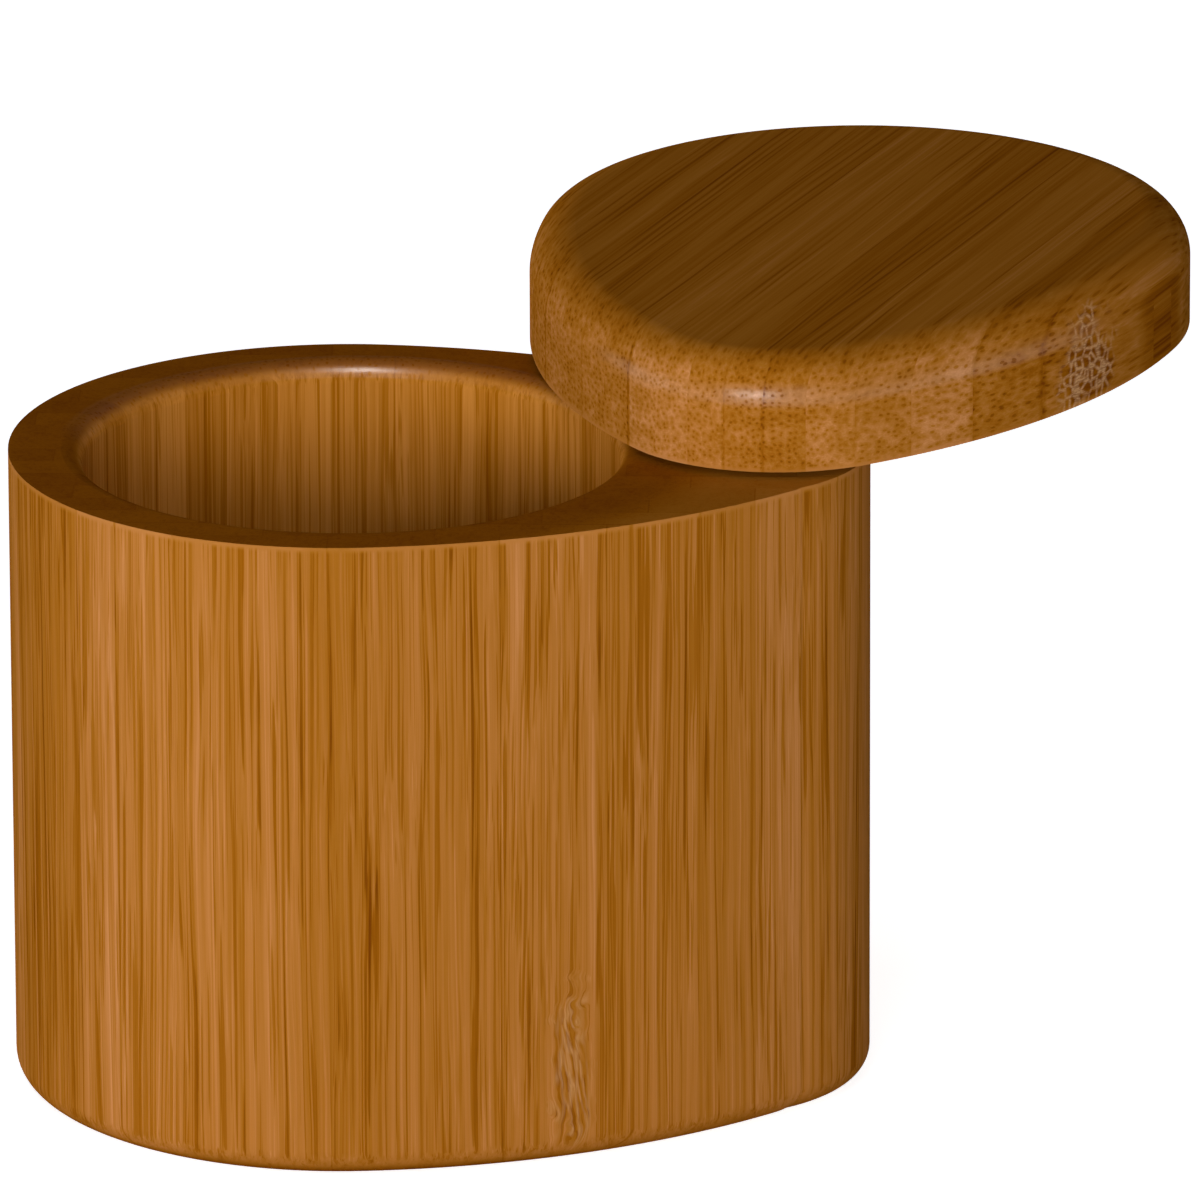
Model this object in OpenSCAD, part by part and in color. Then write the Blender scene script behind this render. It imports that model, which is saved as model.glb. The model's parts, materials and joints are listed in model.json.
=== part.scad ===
// Bamboo salt box with a lid that swivels sideways on an upright pin.
// The body is an egg-shaped block bored for the salt, and the lid has the same outline.
// Both are glued up from bamboo: upright boards in the body, strips on edge in the lid.
// The origin is the middle of the underside. +X runs to the pin, +Z is up, units are mm.

/* [Outline] */
// Radius of the big round end, which is half the width of the box
big_r = 40.5; // [36:0.5:46]
// Radius of the small round end
small_r = 20.5; // [18:0.5:25]
// Distance between the centres of the two round ends
end_span = 43.5; // [40:0.5:54]
// Radius of the two long flanks that run into the ends
flank_r = 87; // [78:1:110]

/* [Body] */
// Height of the body
body_h = 80; // [60:1:100]
// Rounding of the lower outside edge
base_round = 3.5; // [1.5:0.5:6]
// Number of upright boards glued front to back into the body
body_boards = 17; // [9:1:21]

/* [Salt bore] */
// Radius of the bore
bore_r = 32.6; // [26:0.1:33]
// Distance of the bore's centre from the big end's centre, towards the pin
bore_shift = 1.1; // [0:0.1:2]
// Thickness of wood left under the bore
floor_t = 12; // [8:0.5:20]
// Rounding of the bore's mouth
mouth_round = 2.6; // [1:0.1:3.5]
// Rounding between the bore's wall and its floor
floor_round = 3; // [1:0.5:6]

/* [Lid] */
// Thickness of the lid
lid_t = 14; // [12:0.5:18]
// Rounding of the lid's upper edge
lid_round = 5.7; // [2:0.1:7]
// Number of strips glued side by side into the lid
lid_strips = 17; // [9:1:21]
// Angle of the strips from the long axis of the lid
strip_turn = 8; // [0:1:12]
// How far the lid is swung open, from closed
lid_open = 103; // [0:1:359]

/* [Pivot] */
// Distance of the pin from the tip of the small end
pin_inset = 13; // [10:0.5:16]
// Radius of the steel pin
pin_r = 2.5; // [2:0.1:3]
// Length of pin pressed into the lid
pin_in_lid = 9; // [6:0.5:10]
// Length of pin that runs in the body
pin_in_body = 22; // [12:1:40]
// Chamfer at both ends of the pin
pin_chamfer = 0.5; // [0.2:0.1:0.8]
// Gap between the pin and the bush, at each side
pin_clear = 0.05; // [0.02:0.01:0.1]
// Wall of the nylon bush
bush_wall = 1.5; // [1:0.1:2]
// Room left under the end of the pin
pin_end_room = 1.5; // [0.5:0.5:4]
// Thickness of the nylon washer that carries the lid
washer_t = 0.8; // [0.5:0.1:2]
// Width of the washer's ring
washer_ring = 4.5; // [3:0.5:6]
// Gap between the pin and the washer, at each side
washer_clear = 0.25; // [0.2:0.05:0.5]
// Gap between the washer and the lid
lid_play = 0.1; // [0.05:0.05:0.3]

/* [Hidden] */
$fn = 180;
over = 1;
box_l = big_r + end_span + small_r;
big_x = big_r - box_l / 2;
small_x = box_l / 2 - small_r;
bore_x = big_x + bore_shift;
pin_x = box_l / 2 - pin_inset;
lid_z = body_h + washer_t + lid_play;

// Each flank is an arc that touches both end circles from outside them, so its centre
// lies on the far side of the long axis, in line with the two points where they meet.
to_big = flank_r - big_r;
to_small = flank_r - small_r;
flank_dx = (to_big * to_big - to_small * to_small + end_span * end_span) / (2 * end_span);
flank_x = big_x + flank_dx;
flank_y = sqrt(to_big * to_big - flank_dx * flank_dx);
big_a = atan2(flank_y, big_x - flank_x);
small_a = atan2(flank_y, small_x - flank_x);

function numbered(name, i) = str(name, i < 10 ? "0" : "", i);
function board_name(i) = numbered("body_board_", i);
function strip_name(i) = numbered("lid_strip_", i);

board_nodes = [for (i = [1:body_boards]) board_name(i)];
strip_nodes = [for (i = [1:lid_strips]) strip_name(i)];

// Bamboo is honey brown, and no two strips of it match.
function bamboo(i) = [0.74, 0.50, 0.25] * (1 + 0.09 * sin(137 * i));

// Upright section of a round end or flank, from its centre out to radius r
module section(r, h, low, high) {
    translate([0, low])
        square([r, h - low - high]);
    square([r - low, h / 2]);
    translate([0, h / 2])
        square([r - high, h / 2]);
    if (low > 0)
        translate([r - low, low])
            intersection() {
                circle(low);
                translate([0, -low])
                    square(low);
            }
    if (high > 0)
        translate([r - high, h - high])
            intersection() {
                circle(high);
                square(high);
            }
}

// The part of the egg between the long axis and the flank on one side, 1 or -1
module flank(side, h, low, high) {
    intersection() {
        translate([flank_x, -side * flank_y, 0])
            rotate_extrude(angle = big_a - small_a, start = side > 0 ? small_a : -big_a)
                section(flank_r, h, low, high);
        translate([-box_l, side > 0 ? 0 : -box_l, -over])
            cube([2 * box_l, box_l, h + 2 * over]);
    }
}

// Solid egg of height h, with its lower and upper outside edges rounded
module egg(h, low = 0, high = 0) {
    translate([big_x, 0, 0])
        rotate_extrude()
            section(big_r, h, low, high);
    translate([small_x, 0, 0])
        rotate_extrude()
            section(small_r, h, low, high);
    for (side = [-1, 1])
        flank(side, h, low, high);
}

// Layer i of a glued block: a slab upright along the grain, turned about the big end
module layer(i, count, turn, h) {
    w = 2 * big_r / count;
    y_low = i == 1 ? -box_l : -big_r + (i - 1) * w;
    y_high = i == count ? box_l : -big_r + i * w;
    translate([big_x, 0, 0])
        rotate(turn)
            translate([-box_l, y_low, -over])
                cube([3 * box_l, y_high - y_low, h + 2 * over]);
}

// The space for the salt, with a rounded mouth and a rounded corner at its floor
module salt_bore() {
    depth = body_h - floor_t;
    translate([bore_x, 0, floor_t])
        rotate_extrude() {
            square([bore_r - floor_round, depth + over]);
            translate([0, floor_round])
                square([bore_r, depth - floor_round + over]);
            translate([bore_r - floor_round, floor_round])
                intersection() {
                    circle(floor_round);
                    translate([0, -floor_round])
                        square(floor_round);
                }
            translate([bore_r, depth - mouth_round])
                difference() {
                    square([mouth_round, mouth_round + over]);
                    translate([mouth_round, 0])
                        circle(mouth_round);
                }
        }
}

module body_board(i) {
    bush_depth = pin_in_body + pin_end_room;
    color(bamboo(i))
        difference() {
            intersection() {
                egg(body_h, low = base_round);
                layer(i, body_boards, 0, body_h);
            }
            salt_bore();
            translate([pin_x, 0, body_h - bush_depth])
                cylinder(r = pin_r + pin_clear + bush_wall, h = bush_depth + over);
        }
}

// Swings what it holds open about the pin, clockwise from above
module opened() {
    translate([pin_x, 0, 0])
        rotate(-lid_open)
            translate([-pin_x, 0, 0])
                children();
}

module lid_strip(i) {
    color(bamboo(i + body_boards))
        opened()
            translate([0, 0, lid_z])
                difference() {
                    intersection() {
                        egg(lid_t, high = lid_round);
                        layer(i, lid_strips, -strip_turn, lid_t);
                    }
                    translate([pin_x, 0, -over])
                        cylinder(r = pin_r, h = pin_in_lid + over);
                }
}

module pivot_pin() {
    bottom = body_h - pin_in_body;
    top = lid_z + pin_in_lid;
    color("silver")
        translate([pin_x, 0, 0])
            rotate_extrude()
                polygon([
                    [0, bottom],
                    [pin_r - pin_chamfer, bottom],
                    [pin_r, bottom + pin_chamfer],
                    [pin_r, top - pin_chamfer],
                    [pin_r - pin_chamfer, top],
                    [0, top]
                ]);
}

module pivot_bush() {
    bush_l = pin_in_body + pin_end_room;
    color("ivory")
        translate([pin_x, 0, body_h - bush_l])
            difference() {
                cylinder(r = pin_r + pin_clear + bush_wall, h = bush_l);
                translate([0, 0, -over])
                    cylinder(r = pin_r + pin_clear, h = bush_l + 2 * over);
            }
}

module spacer_washer() {
    hole_r = pin_r + washer_clear;
    color("whitesmoke")
        translate([pin_x, 0, body_h])
            difference() {
                cylinder(r = hole_r + washer_ring, h = washer_t);
                translate([0, 0, -over])
                    cylinder(r = hole_r, h = washer_t + 2 * over);
            }
}

for (i = [1:body_boards])
    body_board(i);
for (i = [1:lid_strips])
    lid_strip(i);
pivot_pin();
pivot_bush();
spacer_washer();
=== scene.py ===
"""Finishes, studio light, floor and camera for a bamboo salt box whose lid swivels on a pin."""
import json
import math

import bpy
from mathutils import Matrix, Vector


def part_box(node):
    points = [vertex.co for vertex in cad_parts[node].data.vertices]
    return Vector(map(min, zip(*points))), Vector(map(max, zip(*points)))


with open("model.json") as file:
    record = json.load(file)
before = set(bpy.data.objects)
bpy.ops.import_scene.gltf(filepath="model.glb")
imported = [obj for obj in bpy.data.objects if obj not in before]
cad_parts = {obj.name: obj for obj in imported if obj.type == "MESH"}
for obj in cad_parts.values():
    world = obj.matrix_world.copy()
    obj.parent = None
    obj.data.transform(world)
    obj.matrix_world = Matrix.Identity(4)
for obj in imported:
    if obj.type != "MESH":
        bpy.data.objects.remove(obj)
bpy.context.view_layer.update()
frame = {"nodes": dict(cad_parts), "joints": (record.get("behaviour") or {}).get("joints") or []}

MM = 0.001
MM_PER_M = 1000.0
WHITE = (1.0, 1.0, 1.0, 1.0)

# Camera: a long lens, a little above the box, looking along +Y.
VIEW_AZIMUTH = math.radians(1.46)
VIEW_ELEVATION = math.radians(18.28)
VIEW_ROLL = math.radians(0.2)
VIEW_DISTANCE = 2186.2 * MM
VIEW_TARGET = Vector((19.42, 0.0, 60.27)) * MM
VIEW_REACH = 20.0
LENS_MM = 540.0
SENSOR_MM = 36.0

# The box's own measures, in millimetres, where the frame doesn't hold them.
LID_OPEN = math.radians(103.0)
STRIP_TURN = math.radians(8.0)
BORE_RADIUS = 32.6
BORE_SHIFT = 1.1
MOUTH_ROUND = 2.6
LID_ROUND = 5.7

# How the bamboo is glued up, in millimetres.
EDGE_STRIP_WIDTH = 20.5  # strips glued edge to edge into one board
ONE_STRIP = 2000.0  # so wide that each layer of the lid is a single strip
LAYER_SHIFT = 0.618  # share of a strip's width from one layer's joints to the next layer's
GLUE_CORE = 0.03  # half width of the darkest part of a glue line
JOINT_REACH = 0.14  # half width of the joint between two strips of one board
JOINT_STRENGTH = 0.5
SEAM_CONTRAST = 2.6  # the higher, the fewer glue lines show between layers
CULM_LENGTH = 300.0  # strips are cut from anywhere along this much bamboo
SIDE_LEAN = 0.3  # share of a strip's lean that goes across its width

# Fibre bundles. Lengths are shares of the pitch from one bundle to the next.
BUNDLE_SCATTER = 0.8
DOT_CORE = 0.45  # share of a dot's radius that is fully dark
PITH_FROM, PITH_FULL = 0.36, 0.62
WALL_SCATTER = 0.9
WALL_REACH = 0.26
CURL_MM = 3.0  # how far the fibres curl in a full culm joint
KNOT_RAGGED = 1.2  # how ragged the edge of a culm joint is
KNOT_CORE = 0.3  # share of a culm joint's size that is fully changed

# How each fibre effect is centred, so that at this value it leaves the tone alone.
BALANCE = {
    "Bands": 0.5, "Streaks": 0.5, "Bundles": 0.2, "Lines": 0.2, "Light lines": 0.15, "Pith": 0.4,
}

# Changes of tone, on the ramp of shades from 0 to 1.
GLUE_TONE = -0.4
GLUE_BACK_ON_LEVEL = 0.28  # glue lines are fainter on level faces
STRIP_LOSS_ON_LEVEL = -0.5  # and so are the differences between strips
# Painted highlight along the body's top outer edge and the lid's lower edge.
EDGE_HIGHLIGHT_TONE = 0.16
# Painted light on the bore's wall.
BORE_PAINTED_LIGHT_TONE = 0.18

# Caramelised bamboo, from its darkest fibre to its palest, with each shade's place on the ramp.
BAMBOO_SHADES = (
    (0.0, (116, 59, 7)),
    (0.3, (146, 85, 11)),
    (0.55, (163, 102, 28)),
    (0.78, (178, 116, 54)),
    (1.0, (196, 134, 82)),
)
KNOT_WALL = (222, 176, 126)
# Painted light in the bore also tints its wall yellower.
BORE_PAINTED_LIGHT_COLOUR = (1.0, 0.93, 0.42, 1.0)
STEEL_SHADES = (150, 152, 155), (196, 197, 198)
NYLON_SHADES = (214, 208, 190), (232, 228, 214)

# Painted highlights on the edges, painted light in the bore, painted shade on the rim, and polished
# places, in millimetres from the face or radius they belong to.
BODY_EDGE_FROM, BODY_EDGE_FULL = 0.9, 0.2
LID_EDGE_FROM, LID_EDGE_FULL = 0.8, 0.1
EDGE_CLEAR_OF_MOUTH = 1.0
BORE_WALL_TO, BORE_WALL_PAST = 0.5, 1.5
# The darkening of the level faces, partly painted shade, is full near the mouth and fades to a
# quarter further out.
DARK_RIM_TO, DARK_RIM_PAST = 7.0, 15.0
RIM_LEFT_DARK = 0.25
SLOPE_PLAIN = 0.8  # how much of the pattern a sloping face of the body loses
TOP_PLAIN = 0.25  # and the lid's top
MOUTH_SHINE_FROM, MOUTH_SHINE_TO, MOUTH_SHINE_SOFT = 1.7, 0.1, 0.3
MOUTH_SHINE_BACK = 18.0  # fully polished this far behind the bore's middle
LID_SHINE_TO, LID_SHINE_SOFT = 3.4, 0.6
LID_SHINE_PAST_PIN, LID_SHINE_NEAR_PIN = 50.0, 24.0
LID_SHINE_LEFT, LID_SHINE_LEFT_FULL = 22.0, 14.0

# Floor, room and lamps, in metres.
FLOOR_HALF = 6.0
FLOOR_DROP = 0.1 * MM
FLOOR_CONTACT = 0.5 * MM
FLOOR_PAINT = (0.8, 0.8, 0.8, 1.0)
FLOOR_LIFT = 0.8
ROOM_LIGHT = 0.08
SWEEP_TOP = 0.10  # height of the white sweep, as the sine of its elevation
LAMP_DISTANCE = 1.4
LAMP_TARGET = Vector((0.02, 0.0, 0.06))


def box_mm(names):
    """Lowest and highest corner of some CAD nodes together, in millimetres."""
    corners = [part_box(name) for name in names]
    low = [min(c[0][axis] for c in corners) * MM_PER_M for axis in range(3)]
    high = [max(c[1][axis] for c in corners) * MM_PER_M for axis in range(3)]
    return Vector(low), Vector(high)


BOARDS = [name for name in sorted(frame["nodes"]) if name.startswith("body_board_")]
STRIPS = [name for name in sorted(frame["nodes"]) if name.startswith("lid_strip_")]
body_low, body_high = box_mm(BOARDS)
lid_low, lid_high = box_mm(STRIPS)
layer_thickness = (body_high.y - body_low.y) / len(BOARDS)
big_radius = (body_high.y - body_low.y) / 2
big_centre = Vector((body_low.x + big_radius, 0.0, 0.0))
bore_axis = Vector((big_centre.x + BORE_SHIFT, 0.0, 0.0))
pin_axis = Vector(frame["joints"][0]["pos_m"]) * MM_PER_M


def srgb(red, green, blue):
    """A colour as a paint chart gives it, 0 to 255, turned into light."""
    def light(value):
        share = value / 255.0
        return share / 12.92 if share <= 0.04045 else ((share + 0.055) / 1.055) ** 2.4
    return (light(red), light(green), light(blue), 1.0)


def towards(azimuth, elevation):
    """The direction from the box to something round its front, to the right, and above it."""
    flat = math.cos(elevation)
    return Vector((math.sin(azimuth) * flat, -math.cos(azimuth) * flat, math.sin(elevation)))


def look_at_the_box():
    """The photograph's camera."""
    back = towards(VIEW_AZIMUTH, VIEW_ELEVATION)
    camera = bpy.data.objects.new("camera", bpy.data.cameras.new("camera"))
    camera.data.lens = LENS_MM
    camera.data.sensor_width = SENSOR_MM
    camera.data.clip_end = VIEW_REACH
    turn = back.to_track_quat("Z", "Y").to_matrix() @ Matrix.Rotation(-VIEW_ROLL, 3, "Z")
    camera.matrix_world = Matrix.Translation(VIEW_TARGET + back * VIEW_DISTANCE) @ turn.to_4x4()
    bpy.context.scene.collection.objects.link(camera)
    bpy.context.scene.camera = camera


# Small helpers that keep node trees readable.

def feed(tree, socket, value):
    """Links a socket to another node's output, or sets it to a plain value."""
    if isinstance(value, bpy.types.NodeSocket):
        tree.links.new(value, socket)
    else:
        socket.default_value = value


def add(tree, kind, values=(), **settings):
    """A node with its settings made and its inputs, by name or number, fed."""
    node = tree.nodes.new(kind)
    for name, value in settings.items():
        setattr(node, name, value)
    for name, value in dict(values).items():
        feed(tree, node.inputs[name], value)
    return node


def calc(tree, operation, *values):
    """One step of arithmetic."""
    node = add(tree, "ShaderNodeMath", dict(enumerate(values)), operation=operation)
    return node.outputs[0]


def centred(tree, value):
    """A value between 0 and 1, moved to lie about 0."""
    return calc(tree, "SUBTRACT", value, 0.5)


def rest_of(tree, value):
    """What a share leaves of 1."""
    return calc(tree, "SUBTRACT", 1.0, value)


def calc_vector(tree, operation, *values):
    """One step of arithmetic on vectors."""
    node = add(tree, "ShaderNodeVectorMath", dict(enumerate(values)), operation=operation)
    return node.outputs["Vector"]


def scaled(tree, vector, by):
    """A vector made longer or shorter."""
    node = add(tree, "ShaderNodeVectorMath", {0: vector, "Scale": by}, operation="SCALE")
    return node.outputs["Vector"]


def length_of(tree, vector):
    """How long a vector is."""
    return add(tree, "ShaderNodeVectorMath", {0: vector}, operation="LENGTH").outputs["Value"]


def remap(tree, value, low, high, to_low=0.0, to_high=1.0, smooth=True):
    """Carries a value from one range to another, held at both ends."""
    node = add(tree, "ShaderNodeMapRange", {
        "Value": value, "From Min": low, "From Max": high, "To Min": to_low, "To Max": to_high,
    }, interpolation_type="SMOOTHSTEP" if smooth else "LINEAR")
    return node.outputs["Result"]


def parts_of(tree, vector):
    """The three parts of a vector."""
    return add(tree, "ShaderNodeSeparateXYZ", {"Vector": vector}).outputs


def vector_of(tree, x, y, z):
    """A vector from its three parts."""
    return add(tree, "ShaderNodeCombineXYZ", {"X": x, "Y": y, "Z": z}).outputs["Vector"]


def blend(tree, share, first, second, kind="MIX"):
    """Two colours mixed, or with MULTIPLY the first one tinted by the second."""
    node = add(tree, "ShaderNodeMix", {"Factor": share, 6: first, 7: second},
               data_type="RGBA", blend_type=kind)
    return node.outputs[2]


def chance_of(tree, identity):
    """Random values that are the same wherever the identity is the same."""
    return add(tree, "ShaderNodeTexWhiteNoise", {"Vector": identity},
               noise_dimensions="3D").outputs


def noise(tree, position, scale, detail=0.0, roughness=0.5):
    """Soft noise, as a value called Fac and as a Color."""
    return add(tree, "ShaderNodeTexNoise", {
        "Vector": position, "Scale": scale, "Detail": detail, "Roughness": roughness,
    }, noise_dimensions="3D").outputs


def grain_noise(tree, position, across, along, detail=0.0, roughness=0.5):
    """Soft noise with so many waves in a millimetre across the grain and along it."""
    drawn = calc_vector(tree, "MULTIPLY", position, (across, across, along))
    return noise(tree, drawn, 1.0, detail, roughness)


def drift(tree, position, across, along, reach, detail=0.0):
    """How far the fibres stray from straight. Half of reach is the most, either way."""
    soft = grain_noise(tree, position, across, along, detail)
    return scaled(tree, calc_vector(tree, "SUBTRACT", soft["Color"], (0.5, 0.5, 0.5)), reach)


def object_place(tree):
    """Where a point is on the part, in metres."""
    return tree.nodes.new("ShaderNodeTexCoord").outputs["Object"]


def place_mm(tree):
    """Where a point is on the part, in millimetres."""
    return scaled(tree, object_place(tree), MM_PER_M)


def bumped(tree, shader, height, strength, depth):
    """Gives a shader a fine relief. The depth is in metres."""
    bump = add(tree, "ShaderNodeBump", {"Height": height, "Strength": strength, "Distance": depth})
    feed(tree, shader.inputs["Normal"], bump.outputs["Normal"])


def group_tree(name, inputs, outputs):
    """An empty node group with named sockets, and its two end nodes."""
    tree = bpy.data.node_groups.new(name, "ShaderNodeTree")
    for label, kind, value in inputs:
        socket = tree.interface.new_socket(label, in_out="INPUT", socket_type="NodeSocket" + kind)
        if value is not None:
            socket.default_value = value
    for label, kind in outputs:
        tree.interface.new_socket(label, in_out="OUTPUT", socket_type="NodeSocket" + kind)
    given = tree.nodes.new("NodeGroupInput").outputs
    result = tree.nodes.new("NodeGroupOutput").inputs
    return tree, given, result


def place_group(tree, group, values):
    """A copy of a node group in a material."""
    return add(tree, "ShaderNodeGroup", values, node_tree=group).outputs


def strip_layout():
    """Which strip of the glued block a point lies in, and how near it is to a glue line.

    Positions are in millimetres: X across the layers, Y across the strips' width, Z along the
    grain.
    """
    tree, given, result = group_tree(
        "strip layout",
        [
            ("Position", "Vector", None),
            ("Layer thickness", "Float", layer_thickness),
            ("Strip width", "Float", EDGE_STRIP_WIDTH),
            ("First joint", "Float", 0.0),
            ("Seed", "Float", 0.0),
            ("Lean", "Float", 0.05),
            ("Line width", "Float", 0.2),
        ],
        [
            ("Fibre position", "Vector"),
            ("Tone", "Float"),
            ("Depth", "Float"),
            ("Glue line", "Float"),
        ],
    )
    place = parts_of(tree, given["Position"])
    layers = calc(tree, "DIVIDE", place["X"], given["Layer thickness"])
    layer = calc(tree, "FLOOR", layers)
    in_layer = calc(tree, "FRACT", layers)
    stagger = calc(tree, "MULTIPLY", layer, LAYER_SHIFT)
    across = calc(tree, "DIVIDE", place["Y"], given["Strip width"])
    strips = calc(tree, "ADD", calc(tree, "ADD", across, stagger), given["First joint"])
    strip_id = vector_of(tree, layer, calc(tree, "FLOOR", strips), given["Seed"])
    chance = chance_of(tree, strip_id)
    chances = parts_of(tree, chance["Color"])
    feed(tree, result["Tone"], centred(tree, chance["Value"]))

    # Skin side and pith side are glued either way round.
    turned = calc(tree, "GREATER_THAN", chances["Y"], 0.5)
    depth = add(tree, "ShaderNodeMix", {0: turned, 2: in_layer, 3: rest_of(tree, in_layer)},
                data_type="FLOAT")
    feed(tree, result["Depth"], depth.outputs[0])

    # Some glue lines between layers show more than others.
    seam = calc(tree, "ROUND", layers)
    off_seam = calc(tree, "ABSOLUTE", calc(tree, "SUBTRACT", layers, seam))
    seam_gap = calc(tree, "MULTIPLY", off_seam, given["Layer thickness"])
    seam_id = vector_of(tree, seam, calc(tree, "ADD", given["Seed"], 0.5), 0.0)
    seam_strength = calc(tree, "POWER", chance_of(tree, seam_id)["Value"], SEAM_CONTRAST)
    seam_line = calc(tree, "MULTIPLY", remap(tree, seam_gap, given["Line width"], GLUE_CORE),
                     seam_strength)
    off_joint = calc(tree, "ABSOLUTE", calc(tree, "SUBTRACT", strips, calc(tree, "ROUND", strips)))
    joint_gap = calc(tree, "MULTIPLY", off_joint, given["Strip width"])
    joint_line = remap(tree, joint_gap, JOINT_REACH, GLUE_CORE, 0.0, JOINT_STRENGTH)
    feed(tree, result["Glue line"], calc(tree, "MAXIMUM", seam_line, joint_line))

    # Each strip was cut somewhere else along the culm, and its fibres lean a little.
    side_lean = calc(tree, "MULTIPLY", given["Lean"], SIDE_LEAN)
    lean_x = calc(tree, "MULTIPLY", centred(tree, chances["Z"]), given["Lean"])
    lean_y = calc(tree, "MULTIPLY", centred(tree, chances["X"]), side_lean)
    leaning = vector_of(
        tree,
        calc(tree, "MULTIPLY_ADD", place["Z"], lean_x, place["X"]),
        calc(tree, "MULTIPLY_ADD", place["Z"], lean_y, place["Y"]),
        place["Z"],
    )
    offset = scaled(tree, chance["Color"], CULM_LENGTH)
    feed(tree, result["Fibre position"], calc_vector(tree, "ADD", leaning, offset))
    return tree


def bamboo_fibres():
    """The bundles of fibre that run along bamboo: dots on a cut end, long streaks on a side."""
    tree, given, result = group_tree(
        "bamboo fibres",
        [
            ("Position", "Vector", None),
            ("Depth", "Float", 0.5),
            ("Pitch", "Float", 0.85),
            ("Knot", "Float", 0.0),
            ("Knot cell", "Vector", (1.0, 1.0, 1.0)),
            ("Dot size", "Float", 0.3),
        ],
        [
            ("Bundles", "Float"),
            ("Pith", "Float"),
            ("Walls", "Float"),
            ("Streaks", "Float"),
            ("Lines", "Float"),
            ("Light lines", "Float"),
            ("Bands", "Float"),
        ],
    )
    start = given["Position"]
    wander = drift(tree, start, across=0.12, along=0.016, reach=1.3, detail=1.0)
    ripple = drift(tree, start, across=0.8, along=0.05, reach=0.4)
    curl = drift(tree, start, across=0.5, along=0.2,
                 reach=calc(tree, "MULTIPLY", given["Knot"], CURL_MM), detail=1.0)
    nearly_straight = calc_vector(tree, "ADD", calc_vector(tree, "ADD", start, wander), ripple)
    moved = calc_vector(tree, "ADD", nearly_straight, curl)

    # Bundles stand a pitch apart, and thin out from the skin towards the pith.
    pitch = vector_of(tree, given["Pitch"], given["Pitch"], 1.0)
    cells = add(tree, "ShaderNodeTexVoronoi", {
        "Vector": calc_vector(tree, "DIVIDE", moved, pitch), "Scale": 1.0,
        "Randomness": BUNDLE_SCATTER,
    }, voronoi_dimensions="2D", feature="F1").outputs
    strength = parts_of(tree, cells["Color"])["X"]
    kept = remap(tree, calc(tree, "MULTIPLY_ADD", given["Depth"], 0.6, strength),
                 0.2, 1.1, 0.25, 1.0)
    dots = remap(tree, cells["Distance"], given["Dot size"],
                 calc(tree, "MULTIPLY", given["Dot size"], DOT_CORE))
    feed(tree, result["Bundles"], calc(tree, "MULTIPLY", dots, kept))
    feed(tree, result["Pith"], remap(tree, cells["Distance"], PITH_FROM, PITH_FULL))

    # In a culm joint, pale walls run between cells of fibre.
    edges = add(tree, "ShaderNodeTexVoronoi", {
        "Vector": calc_vector(tree, "DIVIDE", moved, given["Knot cell"]), "Scale": 1.0,
        "Randomness": WALL_SCATTER,
    }, voronoi_dimensions="3D", feature="DISTANCE_TO_EDGE").outputs
    feed(tree, result["Walls"], remap(tree, edges["Distance"], WALL_REACH, 0.0))

    # Dark and light lines, crowded in some bands and few in others.
    bands = grain_noise(tree, moved, across=0.45, along=0.006, detail=1.0)["Fac"]
    streaks = grain_noise(tree, moved, across=4.2, along=0.03, detail=2.0, roughness=0.6)["Fac"]
    wide = grain_noise(tree, moved, across=1.7, along=0.02, detail=2.0)["Fac"]
    thin = grain_noise(tree, moved, across=3.4, along=0.011, detail=1.0)["Fac"]
    crowd = calc(tree, "MULTIPLY", centred(tree, bands), 0.35)
    wide_lines = remap(tree, calc(tree, "ADD", wide, crowd), 0.42, 0.37)
    thin_lines = remap(tree, calc(tree, "ADD", thin, crowd), 0.40, 0.35, 0.0, 0.8)
    feed(tree, result["Bands"], bands)
    feed(tree, result["Streaks"], streaks)
    feed(tree, result["Lines"], calc(tree, "MAXIMUM", wide_lines, thin_lines))
    feed(tree, result["Light lines"], remap(tree, thin, 0.60, 0.66))
    return tree


def height_band(tree, height, low, high, soft):
    """1 where a height lies between two levels, falling to 0 over a soft edge."""
    return calc(tree, "MULTIPLY", remap(tree, height, low - soft, low + soft),
                remap(tree, height, high + soft, high - soft))


def knot_zone(tree, position, centre, size):
    """1 in the middle of a culm joint, falling to 0 at its ragged edge."""
    away = calc_vector(tree, "DIVIDE", calc_vector(tree, "SUBTRACT", position, centre), size)
    ragged = grain_noise(tree, position, across=0.35, along=0.35, detail=1.0)["Fac"]
    reach = calc(tree, "MULTIPLY_ADD", centred(tree, ragged), KNOT_RAGGED, length_of(tree, away))
    return remap(tree, reach, 1.0, KNOT_CORE)


def grain_mapping(tree, origin, across, width, along):
    """Object coordinates turned to run as the strip layout wants them, in millimetres."""
    turn = Matrix((across, width, along))
    node = add(tree, "ShaderNodeMapping", {
        "Vector": object_place(tree),
        "Location": -(turn @ origin),
        "Rotation": turn.to_euler("XYZ"),
        "Scale": (MM_PER_M, MM_PER_M, MM_PER_M),
    }, vector_type="POINT")
    return node.outputs["Vector"]


def new_material(name):
    """A material with an empty tree, its shader and its surface joined."""
    material = bpy.data.materials.new(name)
    material.use_nodes = True
    tree = material.node_tree
    tree.nodes.clear()
    shader = tree.nodes.new("ShaderNodeBsdfPrincipled")
    surface = tree.nodes.new("ShaderNodeOutputMaterial")
    tree.links.new(shader.outputs["BSDF"], surface.inputs["Surface"])
    return material, tree, shader


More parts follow.
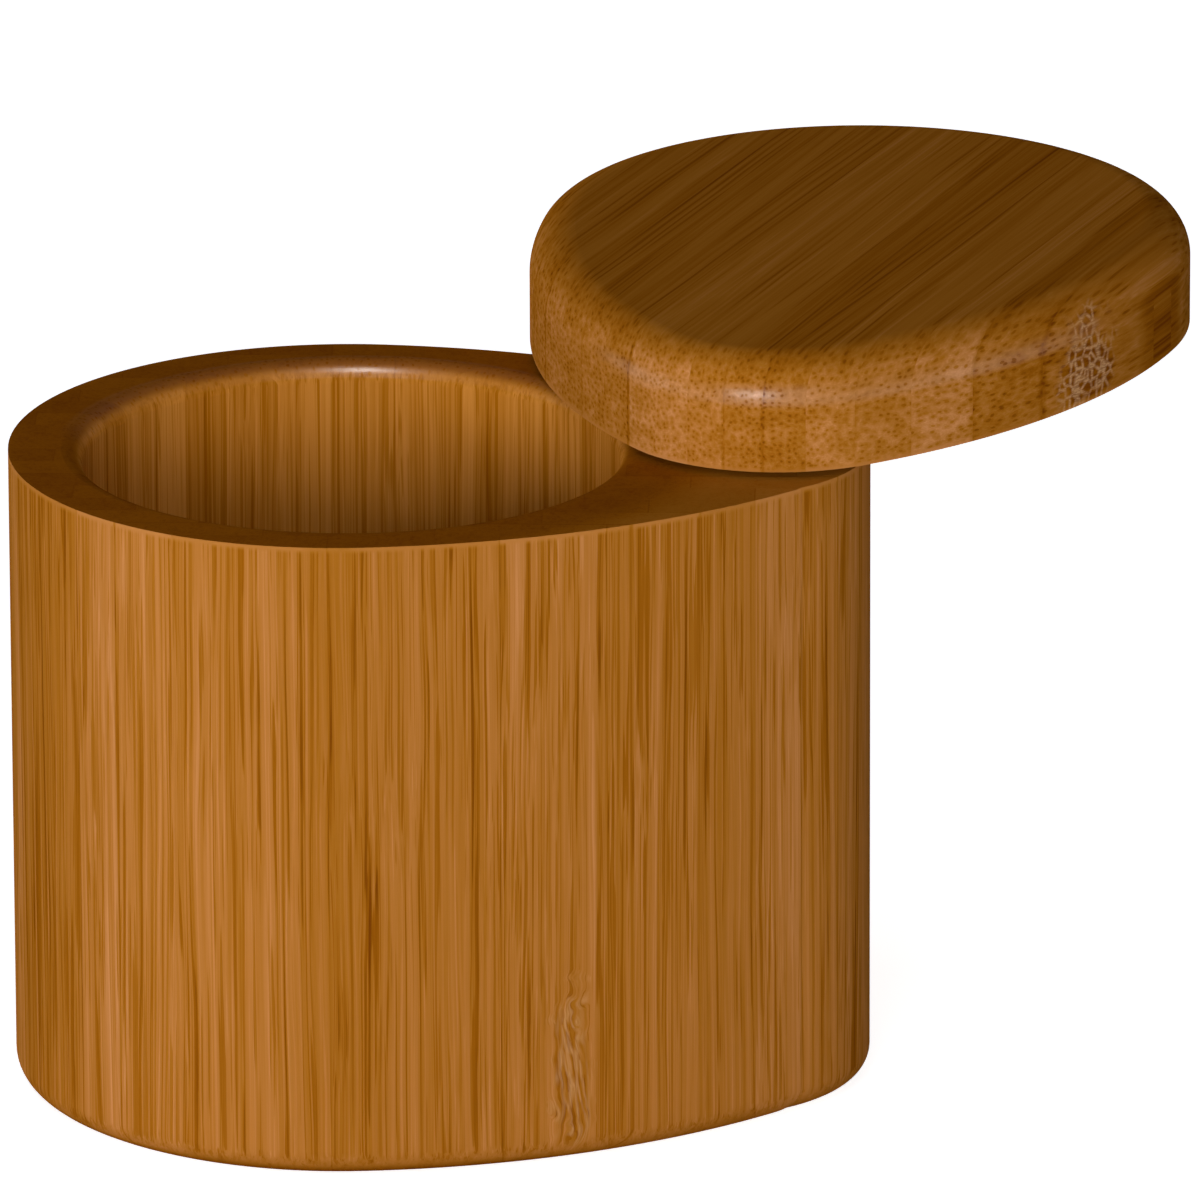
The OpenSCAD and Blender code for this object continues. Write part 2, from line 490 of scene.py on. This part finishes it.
def bamboo_shade(tree, tone):
    """The shade of caramelised bamboo for a tone from 0, dark, to 1, pale."""
    shades = add(tree, "ShaderNodeValToRGB", {"Fac": tone})
    ends = shades.color_ramp.elements
    for end, (place, shade) in zip(ends, (BAMBOO_SHADES[0], BAMBOO_SHADES[-1])):
        end.position = place
        end.color = srgb(*shade)
    for place, shade in BAMBOO_SHADES[1:-1]:
        ends.new(place).color = srgb(*shade)
    return shades.outputs["Color"]


def oiled_bamboo(name, groups, position_of, shine_of, shine_roughness, painted_light_and_plainness_of,
                 layout, fibre, weights, knot):
    """Caramelised bamboo, glued up from strips, sanded and rubbed with oil.

    layout and fibre are inputs of the two groups, and weights say how far each effect moves the
    tone. A knot is a culm joint.
    """
    material, tree, shader = new_material(name)
    position = position_of(tree)
    zone = knot_zone(tree, position, knot["centre"], knot["size"])
    above = calc(tree, "SUBTRACT", parts_of(tree, position)["Z"], knot["centre"][2])
    bent = calc(tree, "MULTIPLY", zone, calc(tree, "MULTIPLY", above, knot["bend"]))
    strip = place_group(tree, groups["layout"], {"Position": position, **layout})
    fibres = place_group(tree, groups["fibres"], {
        "Position": calc_vector(tree, "ADD", strip["Fibre position"],
                                vector_of(tree, 0.0, bent, 0.0)),
        "Depth": strip["Depth"],
        "Knot": calc(tree, "MULTIPLY", zone, knot["ripple"]),
        "Knot cell": knot["cell"],
        **fibre,
    })

    # The pattern of the fibres fades under the painted edge highlight, and where the wood is worn
    # plain.
    edge_highlight, bore, level, plain = painted_light_and_plainness_of(tree)
    pattern = 0.0
    for effect, balance in BALANCE.items():
        change = calc(tree, "SUBTRACT", fibres[effect], balance)
        pattern = calc(tree, "MULTIPLY_ADD", change, weights[effect], pattern)
    pattern = calc(tree, "MULTIPLY_ADD", zone, knot["darkness"], pattern)
    pattern = calc(tree, "MULTIPLY", pattern, rest_of(tree, calc(tree, "MAXIMUM", edge_highlight, plain)))

    # The strip's own tone and its glue lines, a painted highlight on the edges, painted light in
    # the bore, and darker level faces, partly end grain and partly painted shade.
    contrast = calc(tree, "MULTIPLY", calc(tree, "MULTIPLY_ADD", level, STRIP_LOSS_ON_LEVEL, 1.0),
                    weights["Strip"])
    glue = calc(tree, "MULTIPLY", strip["Glue line"],
                calc(tree, "MULTIPLY_ADD", level, GLUE_BACK_ON_LEVEL, GLUE_TONE))
    tone = calc(tree, "MULTIPLY_ADD", strip["Tone"], contrast, weights["Middle"])
    tone = calc(tree, "ADD", tone, pattern)
    tone = calc(tree, "ADD", tone, glue)
    # Painted highlight along the edges.
    tone = calc(tree, "MULTIPLY_ADD", edge_highlight, EDGE_HIGHLIGHT_TONE, tone)
    # Painted light on the bore's wall.
    tone = calc(tree, "MULTIPLY_ADD", bore, BORE_PAINTED_LIGHT_TONE, tone)
    # Level faces darker: on the body partly darker end grain and partly painted shade; on the lid's
    # top, painted shade.
    tone = calc(tree, "MULTIPLY_ADD", level, weights["Level"], tone)

    walls = calc(tree, "MULTIPLY", calc(tree, "MULTIPLY", zone, fibres["Walls"]),
                 remap(tree, fibres["Streaks"], 0.35, 0.6, 0.4, 1.0))
    paleness = calc(tree, "MULTIPLY", walls, knot["paleness"])
    pale = blend(tree, paleness, bamboo_shade(tree, tone), srgb(*KNOT_WALL))
    # Painted light in the bore also tints its wall yellower.
    feed(tree, shader.inputs["Base Color"], blend(tree, bore, pale, BORE_PAINTED_LIGHT_COLOUR, "MULTIPLY"))

    # The wood is matt. Only what fingers polish has a gloss, and its bundles have less.
    feed(tree, shader.inputs["Roughness"],
         remap(tree, fibres["Streaks"], 0.3, 0.7, 0.52, 0.44, smooth=False))
    shader.inputs["Specular IOR Level"].default_value = 0.0
    feed(tree, shader.inputs["Coat Weight"],
         calc(tree, "MULTIPLY", shine_of(tree),
              calc(tree, "MULTIPLY_ADD", fibres["Bundles"], -0.7, 1.0)))
    shader.inputs["Coat Roughness"].default_value = shine_roughness
    height = calc(tree, "MULTIPLY_ADD", fibres["Bundles"], -0.5, fibres["Streaks"])
    bumped(tree, shader, height, 0.35, 0.03 * MM)
    return material


def distance_from(tree, place, axis):
    """How far a point is from an upright axis."""
    away = calc_vector(tree, "SUBTRACT", place, (axis.x, axis.y, 0.0))
    return length_of(tree, calc_vector(tree, "MULTIPLY", away, (1.0, 1.0, 0.0)))


def steepness(tree, level=0.9, upright=0.5):
    """0 on level faces and 1 on upright ones.

    The two bounds are how far the surface faces up or down.
    """
    normal = parts_of(tree, tree.nodes.new("ShaderNodeTexCoord").outputs["Normal"])["Z"]
    return remap(tree, calc(tree, "ABSOLUTE", normal), level, upright)


def body_painted_light_and_plainness(tree):
    """A painted highlight on the outer top edge, painted light in the bore, the level faces
    darkened by end grain and painted shade, with less painted shade away from the mouth, and how
    plain a slope is.
    """
    upright = steepness(tree)
    place = place_mm(tree)
    height = parts_of(tree, place)["Z"]
    distance = distance_from(tree, place, bore_axis)
    mouth = BORE_RADIUS + MOUTH_ROUND
    outside = remap(tree, distance, mouth, mouth + EDGE_CLEAR_OF_MOUTH)
    # Painted highlight along the outer top edge, clear of the mouth.
    edge = calc(tree, "MULTIPLY", remap(tree, height, body_high.z - BODY_EDGE_FROM,
                                        body_high.z - BODY_EDGE_FULL), outside)
    # The bore's wall, which gets painted light.
    past_bore = remap(tree, distance, BORE_RADIUS + BORE_WALL_TO, BORE_RADIUS + BORE_WALL_PAST)
    # The level faces' darkening, partly painted shade, is full near the mouth and lighter further
    # out.
    near_mouth = remap(tree, distance, BORE_RADIUS + DARK_RIM_TO, BORE_RADIUS + DARK_RIM_PAST,
                       1.0, RIM_LEFT_DARK)
    slope = rest_of(tree, steepness(tree, level=0.8, upright=0.05))
    return (
        calc(tree, "MULTIPLY", edge, upright),
        calc(tree, "MULTIPLY", rest_of(tree, past_bore), upright),
        calc(tree, "MULTIPLY", rest_of(tree, upright), near_mouth),
        calc(tree, "MULTIPLY", slope, SLOPE_PLAIN),
    )


def lid_painted_light_and_plainness(tree):
    """A painted highlight on the lower edge, no bore, the level faces with painted shade on the
    top, and how plain hands have rubbed the top.
    """
    upright = steepness(tree)
    level = rest_of(tree, upright)
    height = parts_of(tree, place_mm(tree))["Z"]
    # Painted highlight along the lower edge.
    edge = remap(tree, height, lid_low.z + LID_EDGE_FROM, lid_low.z + LID_EDGE_FULL)
    return (
        calc(tree, "MULTIPLY", edge, upright),
        0.0,
        level,
        calc(tree, "MULTIPLY", level, TOP_PLAIN),
    )


def mouth_shine(tree):
    """The rounded mouth of the bore, which fingers polish where they reach over it."""
    place = place_mm(tree)
    mouth = BORE_RADIUS + MOUTH_ROUND
    inside = remap(tree, distance_from(tree, place, bore_axis), mouth + EDGE_CLEAR_OF_MOUTH, mouth)
    band = height_band(tree, parts_of(tree, place)["Z"], body_high.z - MOUTH_SHINE_FROM,
                       body_high.z - MOUTH_SHINE_TO, MOUTH_SHINE_SOFT)
    reached = remap(tree, parts_of(tree, place)["Y"], 0.0, MOUTH_SHINE_BACK)
    return calc(tree, "MULTIPLY", calc(tree, "MULTIPLY", inside, band), reached)


def lid_shine(tree):
    """The rounded edge of the lid's small end, which fingers polish as they push it."""
    place = place_mm(tree)
    near_pin = remap(tree, distance_from(tree, place, pin_axis),
                     LID_SHINE_PAST_PIN, LID_SHINE_NEAR_PIN)
    in_front = remap(tree, parts_of(tree, place)["X"],
                     pin_axis.x - LID_SHINE_LEFT, pin_axis.x - LID_SHINE_LEFT_FULL)
    band = height_band(tree, parts_of(tree, place)["Z"], lid_high.z - LID_ROUND,
                       lid_high.z - LID_SHINE_TO, LID_SHINE_SOFT)
    return calc(tree, "MULTIPLY", calc(tree, "MULTIPLY", near_pin, in_front), band)


def body_position(tree):
    """Body boards stand front to back, with upright grain."""
    origin = Vector((0.0, body_low.y, 0.0))
    return grain_mapping(tree, origin, Vector((0, 1, 0)), Vector((-1, 0, 0)), Vector((0, 0, 1)))


def lid_position(tree):
    """Lid strips stand on edge, with the grain along the lid, which is swung open."""
    swing = Matrix.Rotation(-LID_OPEN, 3, "Z")
    grain = Matrix.Rotation(-LID_OPEN - STRIP_TURN, 3, "Z")
    along = grain @ Vector((1, 0, 0))
    across = grain @ Vector((0, 1, 0))
    centre = pin_axis + swing @ (big_centre - Vector((pin_axis.x, 0.0, 0.0)))
    origin = Vector((centre.x, centre.y, 0.0)) - across * big_radius
    return grain_mapping(tree, origin, across, Vector((0, 0, 1)), along)


def turned_steel():
    """Bright steel with fine rings left by turning."""
    material, tree, shader = new_material("turned steel")
    drawn = calc_vector(tree, "MULTIPLY", object_place(tree), (200.0, 200.0, 9000.0))
    rings = noise(tree, drawn, 1.0, detail=2.0)["Fac"]
    dark, bright = STEEL_SHADES
    feed(tree, shader.inputs["Base Color"], blend(tree, rings, srgb(*dark), srgb(*bright)))
    feed(tree, shader.inputs["Roughness"], remap(tree, rings, 0.3, 0.7, 0.22, 0.38))
    shader.inputs["Metallic"].default_value = 1.0
    bumped(tree, shader, rings, 0.12, 0.01 * MM)
    return material


def moulded_nylon():
    """Milky nylon, a little cloudy, with a fine moulded skin."""
    material, tree, shader = new_material("moulded nylon")
    place = object_place(tree)
    cloud = noise(tree, place, 350.0, detail=2.0)["Fac"]
    skin = noise(tree, place, 6000.0, detail=1.0)["Fac"]
    dull, milky = NYLON_SHADES
    feed(tree, shader.inputs["Base Color"], blend(tree, cloud, srgb(*dull), srgb(*milky)))
    feed(tree, shader.inputs["Roughness"], remap(tree, skin, 0.3, 0.7, 0.38, 0.52))
    bumped(tree, shader, skin, 0.2, 0.01 * MM)
    return material


def dress(names, material):
    """Gives CAD nodes a finish."""
    for name in names:
        for slot in frame["nodes"][name].material_slots:
            slot.material = material


def pale_floor():
    """A wide pale floor that reads white and keeps the box's shadow."""
    half = FLOOR_HALF
    mesh = bpy.data.meshes.new("floor")
    mesh.from_pydata([(-half, -half, 0), (half, -half, 0), (half, half, 0), (-half, half, 0)],
                     [], [(0, 1, 2, 3)])
    floor = bpy.data.objects.new("floor", mesh)
    bpy.context.scene.collection.objects.link(floor)
    floor.location.z = -FLOOR_DROP
    material, tree, shader = new_material("pale floor")
    shader.inputs["Base Color"].default_value = FLOOR_PAINT
    shader.inputs["Roughness"].default_value = 0.9
    shader.inputs["Specular IOR Level"].default_value = 0.0
    path = tree.nodes.new("ShaderNodeLightPath").outputs
    seen = calc(tree, "MAXIMUM", path["Is Camera Ray"],
                calc(tree, "MAXIMUM", path["Is Glossy Ray"], path["Is Transmission Ray"]))
    feed(tree, shader.inputs["Emission Strength"], calc(tree, "MULTIPLY", seen, FLOOR_LIFT))
    shader.inputs["Emission Color"].default_value = WHITE

    # Clear from below, and to what rests on it, so that the box's underside is lit too.
    touching = calc(tree, "LESS_THAN", path["Ray Length"], FLOOR_CONTACT)
    behind = tree.nodes.new("ShaderNodeNewGeometry").outputs["Backfacing"]
    clear = tree.nodes.new("ShaderNodeBsdfTransparent")
    mix = add(tree, "ShaderNodeMixShader", {
        "Fac": calc(tree, "MAXIMUM", behind, touching),
        1: shader.outputs["BSDF"], 2: clear.outputs["BSDF"],
    })
    surface = next(node for node in tree.nodes if node.type == "OUTPUT_MATERIAL")
    tree.links.new(mix.outputs["Shader"], surface.inputs["Surface"])
    mesh.materials.append(material)


def room_light():
    """A dim room above a white sweep, which stands a little higher than the horizon."""
    world = bpy.data.worlds.new("room")
    world.use_nodes = True
    tree = world.node_tree
    tree.nodes.clear()
    path = tree.nodes.new("ShaderNodeLightPath").outputs
    mirrored = calc(tree, "MAXIMUM", path["Is Glossy Ray"], path["Is Transmission Ray"])
    direction = parts_of(tree, tree.nodes.new("ShaderNodeTexCoord").outputs["Generated"])
    sweep = remap(tree, direction["Z"], SWEEP_TOP, SWEEP_TOP / 2)
    seen = calc(tree, "MAXIMUM", path["Is Camera Ray"], calc(tree, "MULTIPLY", mirrored, sweep))
    strength = remap(tree, seen, 0.0, 1.0, ROOM_LIGHT, 1.0, smooth=False)
    background = add(tree, "ShaderNodeBackground", {"Color": WHITE, "Strength": strength})
    surface = tree.nodes.new("ShaderNodeOutputWorld")
    tree.links.new(background.outputs["Background"], surface.inputs["Surface"])
    bpy.context.scene.world = world


def softbox(name, azimuth, elevation, width, height, light, mirrored=True, lights=True):
    """A soft lamp that faces the box. light is how bright it makes a white card at the box.

    It may be kept out of reflections, or show in them alone, as a reflector card does.
    """
    data = bpy.data.lights.new(name, "AREA")
    data.shape = "RECTANGLE"
    data.size = width
    data.size_y = height
    # A lamp of this power lights a card square to it, at its distance, to the brightness asked.
    data.energy = light * math.pi * math.pi * LAMP_DISTANCE ** 2
    lamp = bpy.data.objects.new(name, data)
    back = towards(math.radians(azimuth), math.radians(elevation))
    lamp.matrix_world = (Matrix.Translation(LAMP_TARGET + back * LAMP_DISTANCE)
                         @ back.to_track_quat("Z", "Y").to_matrix().to_4x4())
    lamp.visible_camera = False
    lamp.visible_glossy = mirrored
    lamp.visible_diffuse = lights
    bpy.context.scene.collection.objects.link(lamp)


look_at_the_box()
bamboo_groups = {"layout": strip_layout(), "fibres": bamboo_fibres()}
dress(BOARDS, oiled_bamboo(
    "body bamboo", bamboo_groups, body_position, mouth_shine, 0.32, body_painted_light_and_plainness,
    layout={"Seed": 209.0, "First joint": 0.41, "Lean": 0.04, "Line width": 0.18},
    fibre={"Pitch": 0.9, "Dot size": 0.27},
    weights={
        # Level darkens level faces: darker end grain and painted shade.
        "Middle": 0.575, "Strip": 0.2, "Level": -0.42, "Bands": 0.32, "Streaks": 0.36,
        "Bundles": -0.20, "Lines": -0.31, "Light lines": 0.12, "Pith": 0.08,
    },
    knot={
        "centre": (6.0, -16.9, 11.5), "size": (3.4, 3.4, 14.0), "cell": (1.0, 0.8, 7.0),
        "bend": -0.15, "ripple": 0.38, "darkness": -0.2, "paleness": 0.34,
    },
))
dress(STRIPS, oiled_bamboo(
    "lid bamboo", bamboo_groups, lid_position, lid_shine, 0.3, lid_painted_light_and_plainness,
    layout={
        "Seed": 1408.5, "Strip width": ONE_STRIP, "First joint": 0.2, "Lean": 0.03,
        "Line width": 0.36,
    },
    fibre={"Pitch": 0.78, "Dot size": 0.29},
    weights={
        # Here Level is painted shade on the lid's top.
        "Middle": 0.60, "Strip": 0.28, "Level": -0.18, "Bands": 0.5, "Streaks": 0.4,
        "Bundles": -0.30, "Lines": -0.06, "Light lines": 0.08, "Pith": 0.12,
    },
    knot={
        "centre": (78.8, 84.5, 22.0), "size": (3.8, 9.5, 8.5), "cell": (0.95, 1.5, 1.5),
        "bend": 0.0, "ripple": 0.15, "darkness": -0.42, "paleness": 0.62,
    },
))
dress(["pivot_pin"], turned_steel())
dress(["pivot_bush", "spacer_washer"], moulded_nylon())
pale_floor()
room_light()

# Lamps: degrees to the right of the front and above the floor, and sizes in metres.
softbox("key", azimuth=-15.0, elevation=11.0, width=0.7, height=0.35, light=0.38)
softbox("front", azimuth=15.0, elevation=16.0, width=0.6, height=0.5, light=0.35, mirrored=False)
softbox("side", azimuth=-85.0, elevation=8.0, width=0.5, height=0.4, light=0.36, mirrored=False)
softbox("back", azimuth=190.0, elevation=4.0, width=0.8, height=0.2, light=0.46, mirrored=False)
softbox("top", azimuth=-10.0, elevation=47.0, width=0.4, height=0.4, light=0.12, mirrored=False)
softbox("under", azimuth=0.0, elevation=-60.0, width=0.6, height=0.6, light=0.35, mirrored=False)
softbox("reflector", azimuth=-8.0, elevation=58.0, width=0.12, height=0.5, light=0.55, lights=False)

bpy.context.scene.view_settings.view_transform = "Standard"
